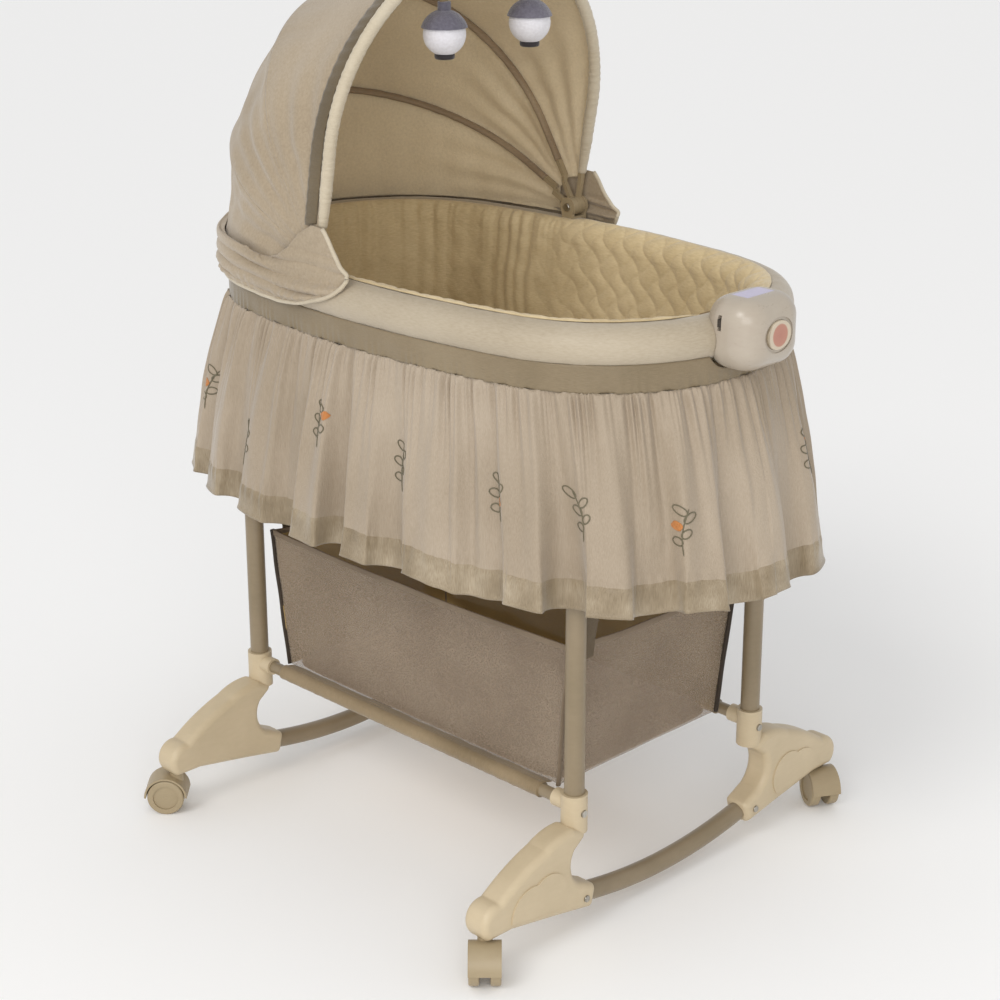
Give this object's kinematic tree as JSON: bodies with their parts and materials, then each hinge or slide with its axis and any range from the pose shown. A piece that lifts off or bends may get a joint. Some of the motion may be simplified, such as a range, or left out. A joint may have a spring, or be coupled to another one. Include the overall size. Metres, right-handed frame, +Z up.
{
  "type": "bassinet",
  "caption": "Oval rocking bassinet on casters, with a folding fabric hood, hanging toys, a gathered skirt, a quilted tub, a sound unit on the rim and a mesh storage basket below.",
  "frame": {"origin": "on the floor under the middle of the stand", "axes": "+Z up, +X towards the foot end with the sound unit, -Y the long side seen first"},
  "size_m": [0.98, 0.7233, 1.1623],
  "materials": {
    "tube_paint": "satin",
    "foot_plastic": "satin",
    "caster_plastic": "satin",
    "bright_steel": "satin",
    "pad_fabric": "matte",
    "quilted_fabric": "matte",
    "floor_wood": "matte",
    "mattress_fabric": "matte",
    "skirt_satin": "satin",
    "ribbon_satin": "satin",
    "hood_fabric": "matte",
    "hood_trim": "matte",
    "hood_plastic": "satin",
    "toy_plush": "matte",
    "toy_dark": "satin",
    "strap_webbing": "matte",
    "unit_plastic": "satin",
    "unit_button_plastic": "satin",
    "unit_lens_plastic": "gloss",
    "switch_plastic": "matte",
    "mesh_fabric": "matte",
    "board_fabric": "matte"
  },
  "bodies": {
    "stand": {"leg_head_left": "tube_paint", "stand_foot_head_left": "foot_plastic", "leg_head_right": "tube_paint", "stand_foot_head_right": "foot_plastic", "leg_foot_left": "tube_paint", "stand_foot_foot_left": "foot_plastic", "leg_foot_right": "tube_paint", "stand_foot_foot_right": "foot_plastic", "rocker_tube_head": "tube_paint", "deck_tube_head": "tube_paint", "rocker_tube_foot": "tube_paint", "deck_tube_foot": "tube_paint", "basket_rail_left": "tube_paint", "basket_rail_right": "tube_paint", "deck_brackets": "foot_plastic", "rim_brackets": "foot_plastic", "foot_screws": "bright_steel", "caster_stems": "bright_steel", "rim_tube": "tube_paint", "rim_pad": "pad_fabric", "liner": "quilted_fabric", "floor_board": "floor_wood", "mattress": "mattress_fabric", "skirt": "skirt_satin", "skirt_band": "ribbon_satin", "hood_mounts": "hood_plastic", "hood_pins": "bright_steel", "hood_rim_cover": "hood_fabric", "hood_side_flaps": "hood_fabric", "unit_back_shell": "unit_plastic", "unit_front_shell": "unit_plastic", "unit_lens": "unit_lens_plastic", "unit_battery_door": "unit_plastic", "unit_strap": "strap_webbing", "basket_mesh": "mesh_fabric", "basket_floor": "board_fabric", "basket_straps": "mesh_fabric"},
    "hood_rear": {"hood_bow_rear": "hood_plastic", "hood_panel_rear": "hood_fabric"},
    "hood_middle": {"hood_bow_middle": "hood_plastic", "hood_panel_middle": "hood_fabric"},
    "hood_front": {"hood_bow_front": "hood_plastic", "hood_panel_front": "hood_fabric", "hood_edge_binding": "hood_trim"},
    "unit_button": {"unit_button": "unit_button_plastic"},
    "unit_switch": {"unit_switch": "switch_plastic"},
    "caster_head_left": {"caster_body_head_left": "caster_plastic"},
    "wheels_head_left": {"caster_wheels_head_left": "caster_plastic"},
    "caster_foot_left": {"caster_body_foot_left": "caster_plastic"},
    "wheels_foot_left": {"caster_wheels_foot_left": "caster_plastic"},
    "caster_head_right": {"caster_body_head_right": "caster_plastic"},
    "wheels_head_right": {"caster_wheels_head_right": "caster_plastic"},
    "caster_foot_right": {"caster_body_foot_right": "caster_plastic"},
    "wheels_foot_right": {"caster_wheels_foot_right": "caster_plastic"},
    "toy_left": {"toy_ball_left": "toy_plush", "toy_cap_left": "toy_dark", "toy_strap_left": "strap_webbing"},
    "toy_right": {"toy_ball_right": "toy_plush", "toy_cap_right": "toy_dark", "toy_strap_right": "strap_webbing"}
  },
  "joints": [
    {"name": "hood_rear_fold", "type": "hinge", "parent": "stand", "child": "hood_rear", "pos_m": [-0.075, 0, 0.79], "axis": [0, -1, 0], "range_deg": [0, 22], "deforming": ["hood_panel_rear"]},
    {"name": "hood_middle_fold", "type": "hinge", "parent": "hood_rear", "child": "hood_middle", "pos_m": [-0.075, 0, 0.79], "axis": [0, -1, 0], "range_deg": [0, 22], "deforming": ["hood_panel_middle"]},
    {"name": "hood_front_fold", "type": "hinge", "parent": "hood_middle", "child": "hood_front", "pos_m": [-0.075, 0, 0.79], "axis": [0, -1, 0], "range_deg": [0, 22], "deforming": ["hood_panel_front"]},
    {"name": "caster_head_left_swivel", "type": "hinge", "parent": "stand", "child": "caster_head_left", "pos_m": [-0.3, -0.32, 0.06], "axis": [0, 0, 1], "continuous": true},
    {"name": "wheels_head_left_roll", "type": "hinge", "parent": "caster_head_left", "child": "wheels_head_left", "pos_m": [-0.3099, -0.3299, 0.025], "axis": [-0.7071, 0.7071, 0], "continuous": true},
    {"name": "caster_foot_left_swivel", "type": "hinge", "parent": "stand", "child": "caster_foot_left", "pos_m": [0.3, -0.32, 0.06], "axis": [0, 0, 1], "continuous": true},
    {"name": "wheels_foot_left_roll", "type": "hinge", "parent": "caster_foot_left", "child": "wheels_foot_left", "pos_m": [0.3099, -0.3299, 0.025], "axis": [-0.7071, -0.7071, 0], "continuous": true},
    {"name": "caster_head_right_swivel", "type": "hinge", "parent": "stand", "child": "caster_head_right", "pos_m": [-0.3, 0.32, 0.06], "axis": [0, 0, 1], "continuous": true},
    {"name": "wheels_head_right_roll", "type": "hinge", "parent": "caster_head_right", "child": "wheels_head_right", "pos_m": [-0.31212, 0.327, 0.025], "axis": [0.5, 0.866, 0], "continuous": true},
    {"name": "caster_foot_right_swivel", "type": "hinge", "parent": "stand", "child": "caster_foot_right", "pos_m": [0.3, 0.32, 0.06], "axis": [0, 0, 1], "continuous": true},
    {"name": "wheels_foot_right_roll", "type": "hinge", "parent": "caster_foot_right", "child": "wheels_foot_right", "pos_m": [0.31212, 0.313, 0.025], "axis": [-0.5, -0.866, 0], "continuous": true},
    {"name": "toy_left_swing", "type": "hinge", "parent": "hood_front", "child": "toy_left", "pos_m": [-0.01467, -0.073, 1.13213], "axis": [-0.0582, -0.9422, -0.3299], "range_deg": [-50, 50]},
    {"name": "toy_right_swing", "type": "hinge", "parent": "hood_front", "child": "toy_right", "pos_m": [-0.01467, 0.073, 1.13213], "axis": [-0.0582, 0.9422, -0.3299], "range_deg": [-50, 50]},
    {"name": "unit_button_press", "type": "slide", "parent": "stand", "child": "unit_button", "axis": [-1, 0, 0], "range_m": [0, 0.002], "stiffness_N_per_m": 400},
    {"name": "unit_switch_slide", "type": "slide", "parent": "stand", "child": "unit_switch", "axis": [0, 0, 1], "range_m": [-0.004, 0.004]}
  ],
  "couplings": [
    {"joint": "hood_middle_fold", "follows": "hood_rear_fold", "ratio": 1},
    {"joint": "hood_front_fold", "follows": "hood_rear_fold", "ratio": 1}
  ]
}
